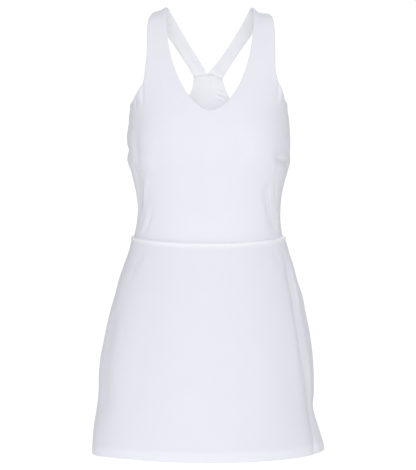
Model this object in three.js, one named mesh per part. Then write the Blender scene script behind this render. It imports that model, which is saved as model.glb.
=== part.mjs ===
// A sleeveless sports dress in smooth white stretch knit, filled out as it is worn: a fitted bodice with
// a rounded V-neck and wide front straps, a narrow back panel held up by two slanting straps, and a
// short flared skirt joined at a rolled waist seam. Millimetres, +Z up, the front towards -Y, and the
// origin midway between the shoulders, at the height of the strap ridges.
import * as THREE from "three";

// Cloth and sewing
const WALL = 1.6;
const HEM_WALL = 2.8;
const HEM_DEPTH = 15;
const HEM_STEP = 0.6;
const SEAM_GAP = 0.3;

// Heights
const HEM_HEIGHT = -794.5;
const WAIST_SIDE_HEIGHT = -408.2;
const WAIST_FRONT_DIP = 5;
const WAIST_BACK_DIP = 3;
const UNDERARM_HEIGHT = -180;
const NECK_HEIGHT = -178.7;

// Neckline: half its width on the ridge and at the shoulder seam, how far its lowest point lies to the
// right, its depth, and the powers that make its curve full
const NECK_HALF = 77.6;
const NECK_SEAM_HALF = 72.6;
const NECK_SHIFT = 2.2;
const NECK_RISE = 181;
const NECK_FALL = 2.25;
const NECK_ROUND = 1.72;

// Shoulder seam, behind the ridge: its form level, and the length of cloth to one level there
const SHOULDER_LEVEL = 0.8;
const SHOULDER_LEVEL_LENGTH = 16;

// Arched seam at the top of the back panel: its highest point, and how fast it falls to each side
const ARCH_CENTRE = -4;
const ARCH_HEIGHT = -116.6;
const ARCH_FALL_LEFT = 0.009;
const ARCH_FALL_RIGHT = 0.0118;

// Side seams as angles round the body from the centre front, where 90 is the right side
const SIDE = 90;
const BODICE_SEAM = 94;
const SKIRT_SEAM_LEFT = -104;

// Sections of the bodice's form from the shoulder ridge down to the waist. left and right are half
// widths, front and back are depths, and squareness is the power of the section's rounded outline.
const BODICE_FORM = [
  { height: 0, left: 178, right: 178, front: 0, back: 0, squareness: 2.5 },
  { height: -5, left: 178, right: 178, front: 15, back: 16, squareness: 2.5 },
  { height: -20, left: 177, right: 177, front: 32, back: 35, squareness: 2.5 },
  { height: -45, left: 174, right: 174, front: 48, back: 56, squareness: 2.5 },
  { height: -80, left: 168, right: 168, front: 65, back: 73, squareness: 2.5 },
  { height: -120, left: 158, right: 157, front: 82, back: 85, squareness: 2.45 },
  { height: -155, left: 149.5, right: 148, front: 95, back: 89.5, squareness: 2.4 },
  { height: -180, left: 145, right: 142, front: 102, back: 91, squareness: 2.35 },
  { height: -205, left: 145, right: 143, front: 107.5, back: 92.5, squareness: 2.3 },
  { height: -230, left: 148, right: 144.6, front: 110, back: 93, squareness: 2.3 },
  { height: -255, left: 146, right: 144.6, front: 108.5, back: 92, squareness: 2.3 },
  { height: -275, left: 146, right: 145, front: 105, back: 90.5, squareness: 2.3 },
  { height: -290, left: 141, right: 141, front: 101.5, back: 88.5, squareness: 2.25 },
  { height: -310, left: 136, right: 135, front: 97, back: 85.5, squareness: 2.2 },
  { height: -335, left: 131, right: 129.5, front: 92, back: 81.5, squareness: 2.2 },
  { height: -360, left: 128.8, right: 127.7, front: 88, back: 78.5, squareness: 2.2 },
  { height: -385, left: 131.2, right: 128, front: 87, back: 79.5, squareness: 2.2 },
  { height: -415, left: 137, right: 132.6, front: 89.5, back: 85, squareness: 2.2 },
];

// Sections of the skirt's form, in the same columns
const SKIRT_FORM = [
  { height: -395, left: 133, right: 129, front: 88, back: 81.5, squareness: 2.2 },
  { height: -411, left: 136.4, right: 132.4, front: 90, back: 85, squareness: 2.2 },
  { height: -427, left: 141.8, right: 139.4, front: 93, back: 91, squareness: 2.2 },
  { height: -456, left: 152.9, right: 150, front: 98.5, back: 102, squareness: 2.2 },
  { height: -485, left: 163, right: 157.5, front: 104.5, back: 111, squareness: 2.2 },
  { height: -514, left: 170.6, right: 164.6, front: 110, back: 118, squareness: 2.2 },
  { height: -543, left: 179, right: 170, front: 114.5, back: 123, squareness: 2.2 },
  { height: -572, left: 185.6, right: 176, front: 118.5, back: 127, squareness: 2.2 },
  { height: -601, left: 191, right: 181, front: 122, back: 130, squareness: 2.2 },
  { height: -630, left: 196.2, right: 184.3, front: 125, back: 132.5, squareness: 2.2 },
  { height: -660, left: 198.9, right: 186, front: 128, back: 134.5, squareness: 2.2 },
  { height: -689, left: 199.5, right: 186.3, front: 130.5, back: 136, squareness: 2.2 },
  { height: -718, left: 202.9, right: 187.3, front: 133, back: 137.5, squareness: 2.2 },
  { height: -748, left: 208.3, right: 195.5, front: 136, back: 139, squareness: 2.1 },
  { height: -777, left: 211.8, right: 204.5, front: 137.5, back: 140.5, squareness: 2.05 },
  { height: -805, left: 213.2, right: 211, front: 138.5, back: 142, squareness: 2 },
];

// The shoulder ridge by distance from the centre: how high each strap lies where it crosses
const SHOULDER_RIDGE = [
  { reach: 0, left: 4, right: 4 },
  { reach: 62, left: 4, right: 4 },
  { reach: 77, left: 2, right: 2 },
  { reach: 85, left: -2.2, right: -4.5 },
  { reach: 93, left: -5.2, right: -7.8 },
  { reach: 103, left: -9, right: -9 },
  { reach: 112, left: -15, right: -11.5 },
  { reach: 122, left: -23, right: -18 },
];
const RIDGE_LEVELS = 2.6;

// Armhole edge of the front from the shoulder seam down to the underarm, in distances from the centre.
// level counts the rows of BODICE_FORM, and below nought they are on the back.
const FRONT_ARMHOLE = [
  { level: -SHOULDER_LEVEL, left: 98.6, right: 104.6 },
  { level: 0, left: 100.6, right: 106.6 },
  { level: 1, left: 104.4, right: 110 },
  { level: 2, left: 108.8, right: 113.4 },
  { level: 3, left: 110.8, right: 115.8 },
  { level: 4, left: 110.8, right: 116.2 },
  { level: 4.7, left: 114, right: 116.6 },
  { level: 5.2, left: 116.6, right: 121 },
  { level: 5.6, left: 124, right: 127.6 },
  { level: 6, left: 132.4, right: 133.2 },
  { level: 6.4, left: 138.3, right: 136.6 },
  { level: 6.8, left: 142, right: 139.4 },
  { level: 7.05, left: 144.4, right: 141.4 },
];

// Back panel above the waist, a row for each step round the back armhole. middle and edge are the row's
// heights at the centre and at the armhole, left and right its reach, and sag how late it bends.
const BACK_ROWS = [
  { middle: -228, edge: UNDERARM_HEIGHT, left: 145, right: 142, sag: 8 },
  { middle: -224, edge: -184, left: 143.4, right: 140.6, sag: 6.5 },
  { middle: -219, edge: -190, left: 137.5, right: 135.5, sag: 5 },
  { middle: -213, edge: -195.5, left: 123, right: 121, sag: 4 },
  { middle: -206, edge: -197.5, left: 104, right: 102, sag: 3 },
  { middle: -198.5, edge: -195.5, left: 86, right: 84, sag: 2.4 },
  { middle: -187.5, edge: -188.5, left: 68, right: 66, sag: 2 },
  { middle: -175, edge: -177, left: 53, right: 51, sag: 2 },
  { middle: -161, edge: -163, left: 41, right: 39, sag: 2 },
  { middle: -147, edge: -149, left: 33.5, right: 31, sag: 2 },
  { middle: -132.5, edge: -136, left: 30, right: 26.5, sag: 2 },
  { middle: -117.2, edge: -122.6, left: 28.8, right: 24, sag: 2 },
];

// Slanting back straps from the shoulder seam to the arched seam: heights and distances from the centre
// of the inner edge, beside the neck, and of the outer edge, beside the armhole
const BACK_STRAP = [
  { row: 0, inner: -4, innerLeft: 72.6, innerRight: 72.6, outer: -4, outerLeft: 98.6, outerRight: 104.6 },
  { row: 1, inner: -12, innerLeft: 67.4, innerRight: 67.4, outer: -19, outerLeft: 93, outerRight: 95.5 },
  { row: 2, inner: -24, innerLeft: 60, innerRight: 61, outer: -38, outerLeft: 82.5, outerRight: 82.5 },
  { row: 3, inner: -38, innerLeft: 51.6, innerRight: 53, outer: -56, outerLeft: 71, outerRight: 70 },
  { row: 4, inner: -54, innerLeft: 42.2, innerRight: 43.2, outer: -73, outerLeft: 59.7, outerRight: 58 },
  { row: 5, inner: -72, innerLeft: 31.4, innerRight: 31.6, outer: -90, outerLeft: 48.4, outerRight: 46.6 },
  { row: 6, inner: -91, innerLeft: 19.6, innerRight: 18, outer: -105, outerLeft: 38.8, outerRight: 37 },
  { row: 7, inner: -107, innerLeft: 9.4, innerRight: 4.4, outer: -115, outerLeft: 33.2, outerRight: 30.6 },
  { row: 8, inner: -115.4, innerLeft: 4.2, innerRight: -3.9, outer: -122.6, outerLeft: 28.8, outerRight: 24 },
];

// Rolled top edge of the skirt: how far it stands out from the form, and how far below the waist seam
const WAIST_ROLL = [
  { row: 0, out: -1.5, drop: 0.45 },
  { row: 1, out: 0.4, drop: 0.35 },
  { row: 2, out: 2.2, drop: -0.5 },
  { row: 3, out: 4, drop: 0.5 },
  { row: 4, out: 4.9, drop: 3.2 },
  { row: 5, out: 4.3, drop: 6.4 },
  { row: 6, out: 2.9, drop: 11 },
  { row: 7, out: 1.2, drop: 19 },
  { row: 8, out: 0, drop: 32 },
];

// Right side seam of the skirt, which lies in a long trough and shows from the front
const SKIRT_SEAM_RIGHT = [
  { height: -395, angle: 72 },
  { height: -430, angle: 69 },
  { height: -490, angle: 65 },
  { height: -600, angle: 64 },
  { height: -660, angle: 68 },
  { height: -715, angle: 74 },
  { height: -805, angle: 66 },
];

// Folds of the cloth, each along a line from one angle and height to another. rise is outward, or
// below nought for a trough, and width is measured across the fold.
const BODICE_FOLDS = [
  { name: "left cup", angle: -40, height: -222, toAngle: -38, toHeight: -236, rise: 5, width: 44 },
  { name: "right cup", angle: 40, height: -222, toAngle: 38, toHeight: -236, rise: 5, width: 44 },
  { name: "right bust pull", angle: 56, height: -266, toAngle: 84, toHeight: -276, rise: -4, width: 11 },
  { name: "left under bust", angle: -66, height: -292, toAngle: -74, toHeight: -350, rise: -3, width: 15 },
  { name: "right waist pull", angle: 50, height: -318, toAngle: 62, toHeight: -386, rise: -2, width: 13 },
  { name: "left back waist", angle: -150, height: -330, toAngle: -120, toHeight: -372, rise: -3, width: 15 },
  { name: "right back waist", angle: 150, height: -340, toAngle: 118, toHeight: -362, rise: -3, width: 14 },
  { name: "back hollow", angle: 180, height: -260, toAngle: 180, toHeight: -390, rise: -5, width: 30 },
];
const SKIRT_FOLDS = [
  { name: "right seam trough", angle: 69, height: -440, toAngle: 64, toHeight: -600, rise: -6, width: 15 },
  { name: "right seam end", angle: 64, height: -600, toAngle: 72, toHeight: -715, rise: -5, width: 14 },
  { name: "right side flute", angle: 88, height: -520, toAngle: 92, toHeight: -690, rise: 3, width: 20 },
  { name: "left edge hollow", angle: -72, height: -560, toAngle: -70, toHeight: -700, rise: -3, width: 22 },
  { name: "left seam trough", angle: -108, height: -470, toAngle: -110, toHeight: -760, rise: -5, width: 20 },
  { name: "left back flute", angle: -136, height: -560, toAngle: -140, toHeight: -800, rise: 6, width: 30 },
  { name: "back hollow", angle: 178, height: -600, toAngle: 174, toHeight: -800, rise: -5, width: 34 },
  { name: "right back flute", angle: 136, height: -540, toAngle: 142, toHeight: -800, rise: 5, width: 30 },
];
const FOLD_RADIUS = 140;

// Mesh steps
const FRONT_COLUMNS = 28;
const BACK_COLUMNS = 30;
const BODICE_ROWS = 14;
const FRONT_STRAP_LEVELS = [
  6.93, 6.75, 6.5, 6.15, 5.7, 5.2, 4.6, 4, 3.4, 2.8, 2.2, 1.6, 1.05, 0.5, 0, -0.4, -SHOULDER_LEVEL,
];
const BACK_STRAP_COLUMNS = 4;
const BACK_STRAP_STEPS = 2;
const SKIRT_COLUMNS = 26;
const SKIRT_ROWS = 13;
const LEVEL_SEARCH_STEPS = 30;

// Small steps of a level and of a place down the skirt, over which slopes are measured
const LEVEL_STEP = 0.02;
const PLACE_STEP = 0.004;

const KNIT = { color: 0xedeef4, roughness: 0.62, metalness: 0 };
const STRAP_KNIT = { color: 0xebedf3, roughness: 0.62, metalness: 0 };
const SKIRT_KNIT = { color: 0xe9eaf2, roughness: 0.62, metalness: 0 };

const { clamp, degToRad, euclideanModulo, lerp, radToDeg, smoothstep } = THREE.MathUtils;

// A smooth step between two values, with the slopes in which it leaves and arrives.
function hermite(from, to, leaving, arriving, share) {
  const square = share * share;
  const cube = square * share;
  return (
    from * (2 * cube - 3 * square + 1) +
    leaving * (cube - 2 * square + share) +
    to * (3 * square - 2 * cube) +
    arriving * (cube - square)
  );
}

// The value of a table's column at a place between its rows, on a smooth curve through them.
function along(rows, key, column, place) {
  const last = rows.length - 1;
  const falling = rows[last][key] < rows[0][key];
  let i = 0;
  while (i < last - 1 && (falling ? place < rows[i + 1][key] : place > rows[i + 1][key])) i += 1;
  const slope = (a, b) => (rows[b][column] - rows[a][column]) / (rows[b][key] - rows[a][key]);
  const span = rows[i + 1][key] - rows[i][key];
  const leaving = slope(Math.max(i - 1, 0), i + 1) * span;
  const arriving = slope(i, Math.min(i + 2, last)) * span;
  const share = clamp((place - rows[i][key]) / span, 0, 1);
  return hermite(rows[i][column], rows[i + 1][column], leaving, arriving, share);
}

// A form's section at a level, which counts its rows from the top. Above its first row the bodice's
// form turns over the shoulder ridge, where its front goes on into its back.
function section(form, level) {
  const last = form.length - 1;
  const i = Math.min(Math.floor(level), last - 1);
  const row = (n, column) => {
    if (n > last) return 2 * form[last][column] - form[last - 1][column];
    if (n >= 0) return form[n][column];
    if (form === SKIRT_FORM) return 2 * form[0][column] - form[1][column];
    if (column === "front") return -form[1].back;
    if (column === "back") return -form[1].front;
    return form[1][column];
  };
  const value = (column) => {
    const leaving = (row(i + 1, column) - row(i - 1, column)) / 2;
    const arriving = (row(i + 2, column) - row(i, column)) / 2;
    return hermite(row(i, column), row(i + 1, column), leaving, arriving, level - i);
  };
  const columns = ["height", "left", "right", "front", "back", "squareness"];
  return Object.fromEntries(columns.map((column) => [column, value(column)]));
}

// The level at which a form has a height.
function levelAt(form, height) {
  let low = 0;
  let high = form.length - 1;
  for (let step = 0; step < LEVEL_SEARCH_STEPS; step += 1) {
    const middle = (low + high) / 2;
    if (section(form, middle).height > height) low = middle;
    else high = middle;
  }
  return (low + high) / 2;
}

// The angle at which the bodice's form is so far from the centre, at a level.
function angleOf(reach, level) {
  const cut = section(BODICE_FORM, Math.abs(level));
  const share = Math.abs(reach) / (reach < 0 ? cut.left : cut.right);
  return Math.sign(reach) * radToDeg(Math.asin(Math.min(share, 1) ** (cut.squareness / 2)));
}

// A point of the bare form. Below level nought it is on the far side of the shoulder ridge.
function formPoint(form, angle, level) {
  const cut = section(form, Math.abs(level));
  const sideways = Math.sin(degToRad(angle));
  const forward = Math.cos(degToRad(angle)) * (level < 0 ? -1 : 1);
  const power = 2 / cut.squareness;
  const half = sideways < 0 ? cut.left : cut.right;
  const depth = forward > 0 ? cut.front : cut.back;
  const x = Math.sign(sideways) * half * Math.abs(sideways) ** power;
  const y = -Math.sign(forward) * depth * Math.abs(forward) ** power;
  if (form === SKIRT_FORM || Math.abs(level) > RIDGE_LEVELS) return new THREE.Vector3(x, y, cut.height);
  const ridge = along(SHOULDER_RIDGE, "reach", x < 0 ? "left" : "right", Math.abs(x));
  const fade = 1 - smoothstep(Math.abs(level), 0, RIDGE_LEVELS);
  return new THREE.Vector3(x, y, cut.height + ridge * fade);
}

// The outward normal of a surface that is worked out from an angle and a place down the cloth.
function normalOf(surface, angle, place, step) {
  const across = surface(angle + 1, place).sub(surface(angle - 1, place));
  const down = surface(angle, place + step).sub(surface(angle, place - step));
  return down.cross(across).normalize();
}

// How far the folds raise a form's cloth at an angle and a height.
function relief(form, angle, height) {
  const folds = form === BODICE_FORM ? BODICE_FOLDS : SKIRT_FOLDS;
  let rise = 0;
  for (const fold of folds) {
    const turn = (to) => degToRad(euclideanModulo(to - fold.angle + 180, 360) - 180) * FOLD_RADIUS;
    const across = turn(angle);
    const down = height - fold.height;
    const lineAcross = turn(fold.toAngle);
    const lineDown = fold.toHeight - fold.height;
    const length = Math.hypot(lineAcross, lineDown);
    const share = clamp((across * lineAcross + down * lineDown) / length ** 2, 0, 1);
    const away = Math.hypot(across - lineAcross * share, down - lineDown * share);
    rise += fold.rise * Math.exp(-((away / fold.width) ** 2));
  }
  return rise;
}

// A point of the cloth's outer face, with its folds, and so far out from there.
function clothPoint(form, angle, level, out = 0) {
  const bare = (a, l) => formPoint(form, a, l);
  const height = section(form, Math.abs(level)).height;
  const rise = relief(form, level < 0 ? 180 - angle : angle, height) + out;
  return bare(angle, level).addScaledVector(normalOf(bare, angle, level, LEVEL_STEP), rise);
}

// A vertex of the bodice's outer face: its point, the way out from the cloth, and the wall behind it.
function bodiceVertex(angle, level) {
  const cloth = (a, l) => clothPoint(BODICE_FORM, a, l);
  return { point: cloth(angle, level), normal: normalOf(cloth, angle, level, LEVEL_STEP), wall: WALL };
}

// The waist seam's height at an angle round the body.
function waistHeight(angle) {
  const forward = Math.cos(degToRad(angle));
  return WAIST_SIDE_HEIGHT - (forward > 0 ? WAIST_FRONT_DIP : WAIST_BACK_DIP) * forward ** 2;
}

// Half of a seam's gap as an angle, at an angle and level of a form.
function gapAngle(form, angle, level) {
  const oneDegree = formPoint(form, angle + 1, level).distanceTo(formPoint(form, angle, level));
  return SEAM_GAP / 2 / oneDegree;
}

// A closed wall behind a sheet of vertices. The sheet's four-sided faces run anticlockwise from outside,
// and each is halved along its shorter diagonal.
function clothWall(vertices, faces) {
  const count = vertices.length;
  const outer = vertices.map(({ point }) => point);
  const inner = vertices.map(({ point, normal, wall }) => point.clone().addScaledVector(normal, -wall));
  const triangles = faces.flatMap(([a, b, c, d]) =>
    outer[a].distanceTo(outer[c]) < outer[b].distanceTo(outer[d])
      ? [[a, b, c], [a, c, d]]
      : [[a, b, d], [b, c, d]],
  );
  const edges = new Set(triangles.flatMap(([a, b, c]) => [`${a} ${b}`, `${b} ${c}`, `${c} ${a}`]));
  const indices = [];
  for (const [a, b, c] of triangles) {
    indices.push(a, b, c, a + count, c + count, b + count);
    for (const [from, to] of [[a, b], [b, c], [c, a]]) {
      if (edges.has(`${to} ${from}`)) continue;
      indices.push(to, from, from + count, to, from + count, to + count);
    }
  }
  const geometry = new THREE.BufferGeometry().setFromPoints([...outer, ...inner]);
  geometry.setIndex(indices);
  geometry.computeVertexNormals();
  return geometry;
}

// Four-sided faces between rows of vertex numbers, each row further up the cloth than the last.
function facesBetween(rows) {
  const faces = [];
  for (let i = 0; i + 1 < rows.length; i += 1) {
    for (let j = 0; j + 1 < rows[i].length; j += 1) {
      faces.push([rows[i][j], rows[i][j + 1], rows[i + 1][j + 1], rows[i + 1][j]]);
    }
  }
  return faces;
}

function clothMesh(name, vertices, faces, finish) {
  const mesh = new THREE.Mesh(clothWall(vertices, faces), new THREE.MeshStandardMaterial(finish));
  mesh.name = name;
  return mesh;
}

function gridMesh(name, rows, finish) {
  let number = 0;
  const numbers = rows.map((row) => row.map(() => number++));
  return clothMesh(name, rows.flat(), facesBetween(numbers), finish);
}

// The neckline's distance from the centre at a level, on the side that is -1 for left or 1 for right.
function neckReach(level, side) {
  if (level <= 0) return side * lerp(NECK_HALF, NECK_SEAM_HALF, -level / SHOULDER_LEVEL);
  const share = clamp((section(BODICE_FORM, level).height - NECK_HEIGHT) / NECK_RISE, 0, 1);
  const half = NECK_HALF * (1 - (1 - share) ** NECK_FALL) ** (1 / NECK_ROUND);
  return side * half + NECK_SHIFT * (1 - share);
}

// Bodice front: from side seam to side seam, and above the neckline's lowest point in two straps that
// pass over the shoulders.
function bodiceFront() {
  const vertices = [];
  const add = (vertex) => vertices.push(vertex) - 1;
  const half = FRONT_COLUMNS / 2;
  const rows = [];
  for (let i = 0; i <= BODICE_ROWS; i += 1) {
    const row = [];
    for (let j = 0; j <= FRONT_COLUMNS; j += 1) {
      const share = j / half - 1;
      const top = lerp(NECK_HEIGHT, UNDERARM_HEIGHT, Math.abs(share));
      const level = levelAt(BODICE_FORM, lerp(waistHeight(share * BODICE_SEAM), top, i / BODICE_ROWS));
      const seam = BODICE_SEAM - gapAngle(BODICE_FORM, Math.sign(share) * BODICE_SEAM, level);
      row.push(add(bodiceVertex(share * seam + centreShift(share, i), level)));
    }
    rows.push(row);
  }
  const faces = facesBetween(rows);
  const top = rows[BODICE_ROWS];
  for (const side of [-1, 1]) {
    const strap = [side < 0 ? top.slice(0, half + 1) : top.slice(half)];
    for (const level of FRONT_STRAP_LEVELS) {
      const arm = along(FRONT_ARMHOLE, "level", side < 0 ? "left" : "right", level);
      const armAngle = angleOf(side * arm, level);
      const neckAngle = angleOf(neckReach(level, side), level);
      const row = [];
      for (let j = 0; j <= half; j += 1) {
        const share = side < 0 ? j / half : 1 - j / half;
        row.push(add(bodiceVertex(lerp(armAngle, neckAngle, share), level)));
      }
      strap.push(row);
    }
    faces.push(...facesBetween(strap));
  }
  return clothMesh("bodice_front", vertices, faces, KNIT);
}

// How far a column of the front is turned, so that the middle one ends at the neckline's lowest point.
function centreShift(share, row) {
  const level = levelAt(BODICE_FORM, NECK_HEIGHT);
  return angleOf(NECK_SHIFT, level) * (1 - Math.abs(share)) * (row / BODICE_ROWS);
}

// The arched seam's height at a distance from the centre.
function archHeight(x) {
  const fall = x < ARCH_CENTRE ? ARCH_FALL_LEFT : ARCH_FALL_RIGHT;
  return ARCH_HEIGHT - fall * (x - ARCH_CENTRE) ** 2;
}

// Bodice back: from side seam to side seam below, and in between the armholes up to the arched seam.
function bodiceBack() {
  const half = BACK_COLUMNS / 2;
  const span = 180 - BODICE_SEAM;
  const sagging = (row, share) => lerp(row.middle, row.edge, Math.abs(share) ** row.sag);
  const rows = [];
  for (let i = 0; i <= BODICE_ROWS; i += 1) {
    const row = [];
    for (let j = 0; j <= BACK_COLUMNS; j += 1) {
      const share = j / half - 1;
      const top = sagging(BACK_ROWS[0], share);
      const level = levelAt(BODICE_FORM, lerp(waistHeight(180 + share * span), top, i / BODICE_ROWS));
      const gap = gapAngle(BODICE_FORM, 180 + Math.sign(share) * span, level);
      row.push(bodiceVertex(180 + share * (span - gap), level));
    }
    rows.push(row);
  }
  for (const step of BACK_ROWS.slice(1)) {
    const edgeLevel = levelAt(BODICE_FORM, step.edge);
    const atArch = step === BACK_ROWS[BACK_ROWS.length - 1];
    const row = [];
    for (let j = 0; j <= BACK_COLUMNS; j += 1) {
      const share = j / half - 1;
      const reach = share < 0 ? step.right : -step.left;
      const angle = 180 + share * Math.abs(angleOf(reach, edgeLevel));
      const arch = archHeight(formPoint(BODICE_FORM, angle, edgeLevel).x) - SEAM_GAP / 2;
      const height = atArch ? arch : sagging(step, share);
      row.push(bodiceVertex(angle, levelAt(BODICE_FORM, height)));
    }
    rows.push(row);
  }
  return gridMesh("bodice_back", rows, KNIT);
}

// Back strap: a ribbon of knit from the shoulder seam down to the arched seam.
function backStrap(name, side) {
  const word = side < 0 ? "Left" : "Right";
  const steps = (BACK_STRAP.length - 1) * BACK_STRAP_STEPS;
  const at = (column, i) => along(BACK_STRAP, "row", column, i / BACK_STRAP_STEPS);
  const rows = [];
  for (let i = 0; i <= steps; i += 1) {
    const innerLevel = levelAt(BODICE_FORM, at("inner", i));
    const outerLevel = levelAt(BODICE_FORM, at("outer", i));
    const row = [];
    for (let j = 0; j <= BACK_STRAP_COLUMNS; j += 1) {
      const share = side < 0 ? 1 - j / BACK_STRAP_COLUMNS : j / BACK_STRAP_COLUMNS;
      const reach = side * lerp(at(`inner${word}`, i), at(`outer${word}`, i), share);
      let level = lerp(innerLevel, outerLevel, share);
      if (i === 0) level = SHOULDER_LEVEL + SEAM_GAP / SHOULDER_LEVEL_LENGTH;
      if (i === steps) level = levelAt(BODICE_FORM, archHeight(reach) + SEAM_GAP / 2);
      row.push(bodiceVertex(angleOf(reach, level), -level));
    }
    rows.push(row);
  }
  return gridMesh(name, rows, STRAP_KNIT);
}

// The skirt's places down the cloth: 0 to 1 round the rolled waist edge, 1 to 2 down to the turned-up
// hem, and 2 to 3 down the hem.
const HEM_TOP = HEM_HEIGHT + HEM_DEPTH;
const ROLL_ROWS = WAIST_ROLL.length - 1;

function skirtHeight(angle, place) {
  const roll = along(WAIST_ROLL, "row", "drop", Math.min(place, 1) * ROLL_ROWS);
  const height = lerp(waistHeight(angle) - roll, HEM_TOP, clamp(place - 1, 0, 1));
  return lerp(height, HEM_HEIGHT, Math.max(place - 2, 0));
}

function skirtVertex(angle, place, wall = WALL) {
  const out = (at) => along(WAIST_ROLL, "row", "out", Math.min(at, 1) * ROLL_ROWS);
  const cloth = (a, at) => clothPoint(SKIRT_FORM, a, levelAt(SKIRT_FORM, skirtHeight(a, at)), out(at));
  return { point: cloth(angle, place), normal: normalOf(cloth, angle, place, PLACE_STEP), wall };
}

// A skirt panel between two seams, whose angles are worked out from the height.
function skirtPanel(name, startSeam, endSeam) {
  const hemStep = HEM_STEP / (WAIST_SIDE_HEIGHT - HEM_TOP);
  const places = [
    { place: 3, wall: HEM_WALL },
    { place: 2.5, wall: HEM_WALL },
    { place: 2, wall: HEM_WALL },
    { place: 2 - hemStep, wall: WALL },
  ];
  for (let i = SKIRT_ROWS - 1; i >= 0; i -= 1) places.push({ place: 1 + i / SKIRT_ROWS, wall: WALL });
  for (let i = ROLL_ROWS - 1; i >= 0; i -= 1) places.push({ place: i / ROLL_ROWS, wall: WALL });
  const rows = places.map(({ place, wall }) => {
    const height = skirtHeight(SIDE, place);
    const gap = gapAngle(SKIRT_FORM, startSeam(height), levelAt(SKIRT_FORM, height));
    const row = [];
    for (let j = 0; j <= SKIRT_COLUMNS; j += 1) {
      const angle = lerp(startSeam(height) + gap, endSeam(height) - gap, j / SKIRT_COLUMNS);
      row.push(skirtVertex(angle, place, wall));
    }
    return row;
  });
  return gridMesh(name, rows, SKIRT_KNIT);
}

const leftSeam = () => SKIRT_SEAM_LEFT;
const rightSeam = (height) => along(SKIRT_SEAM_RIGHT, "height", "angle", height);

const dress = new THREE.Group();
dress.add(
  bodiceFront(),
  bodiceBack(),
  backStrap("back_strap_left", -1),
  backStrap("back_strap_right", 1),
  skirtPanel("skirt_front", leftSeam, rightSeam),
  skirtPanel("skirt_back", rightSeam, () => leftSeam() + 360),
);

export default dress;
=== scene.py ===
import bpy
import numpy as np
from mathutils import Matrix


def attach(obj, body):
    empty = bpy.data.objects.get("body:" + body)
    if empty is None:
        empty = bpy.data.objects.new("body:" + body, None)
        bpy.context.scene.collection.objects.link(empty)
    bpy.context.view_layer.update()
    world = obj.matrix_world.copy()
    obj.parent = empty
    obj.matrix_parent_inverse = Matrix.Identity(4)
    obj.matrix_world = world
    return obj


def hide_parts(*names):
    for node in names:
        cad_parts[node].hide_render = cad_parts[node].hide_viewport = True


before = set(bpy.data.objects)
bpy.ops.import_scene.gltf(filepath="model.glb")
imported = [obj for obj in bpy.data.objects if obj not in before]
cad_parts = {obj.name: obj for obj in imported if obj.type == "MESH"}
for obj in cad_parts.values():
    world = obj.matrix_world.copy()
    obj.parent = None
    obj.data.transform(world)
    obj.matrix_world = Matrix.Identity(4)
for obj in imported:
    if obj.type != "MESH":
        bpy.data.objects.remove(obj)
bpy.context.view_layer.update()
bpy.ops.object.select_all(action="DESELECT")


# Bodice front: one panel of firm, smooth jersey with a rounded V-neck and two wide straps that pass over
# the shoulders. Its neckline and armholes are turned under with no stitch showing, its sides are sewn to
# the back, and its lower edge is tucked into the waist roll.

MM = 0.001

# An angle round the dress counts as millimetres of cloth on a circle of this radius.
CLOTH_RADIUS = 140.0

# Steps that tell which way the cloth faces, and the samples between which a height's level is found
ANGLE_STEP = 1.0
LEVEL_STEP = 0.02
LEVEL_SAMPLES = 4001

# Worn form from the shoulder ridge to the waist: height, half widths to the left and right, depths in
# front and behind, and the power of the rounded outline.
BODICE_FORM = [
    (0, 178, 178, 0, 0, 2.5),
    (-5, 178, 178, 15, 16, 2.5),
    (-20, 177, 177, 32, 35, 2.5),
    (-45, 174, 174, 48, 56, 2.5),
    (-80, 168, 168, 65, 73, 2.5),
    (-120, 158, 157, 82, 85, 2.45),
    (-155, 149.5, 148, 95, 89.5, 2.4),
    (-180, 145, 142, 102, 91, 2.35),
    (-205, 145, 143, 107.5, 92.5, 2.3),
    (-230, 148, 144.6, 110, 93, 2.3),
    (-255, 146, 144.6, 108.5, 92, 2.3),
    (-275, 146, 145, 105, 90.5, 2.3),
    (-290, 141, 141, 101.5, 88.5, 2.25),
    (-310, 136, 135, 97, 85.5, 2.2),
    (-335, 131, 129.5, 92, 81.5, 2.2),
    (-360, 128.8, 127.7, 88, 78.5, 2.2),
    (-385, 131.2, 128, 87, 79.5, 2.2),
    (-415, 137, 132.6, 89.5, 85, 2.2),
]

# How high the straps lie where they cross the ridge, by distance from the centre, on the left and on the
# right, and the level at which that lift has faded.
RIDGE_REACH = [0, 62, 77, 85, 93, 103, 112, 122]
RIDGE_LEFT = [4, 4, 2, -2.2, -5.2, -9, -15, -23]
RIDGE_RIGHT = [4, 4, 2, -4.5, -7.8, -9, -11.5, -18]
RIDGE_LEVELS = 2.6

# Large folds, each from one angle and height to another, with its rise and width. They end roundly.
BODICE_FOLDS = [
    (-40, -222, -38, -236, 5, 44),
    (40, -222, 38, -236, 5, 44),
    (56, -267, 84, -277, -5, 12),
    (-68, -160, -96, -180, -3.5, 14),
    (68, -158, 96, -178, -3.8, 14),
    (-66, -292, -74, -350, -3, 15),
    (50, -318, 62, -386, -2, 13),
    (-150, -330, -120, -372, -3, 15),
    (150, -340, 118, -362, -3, 14),
    (180, -260, 180, -390, -5, 30),
]

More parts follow.
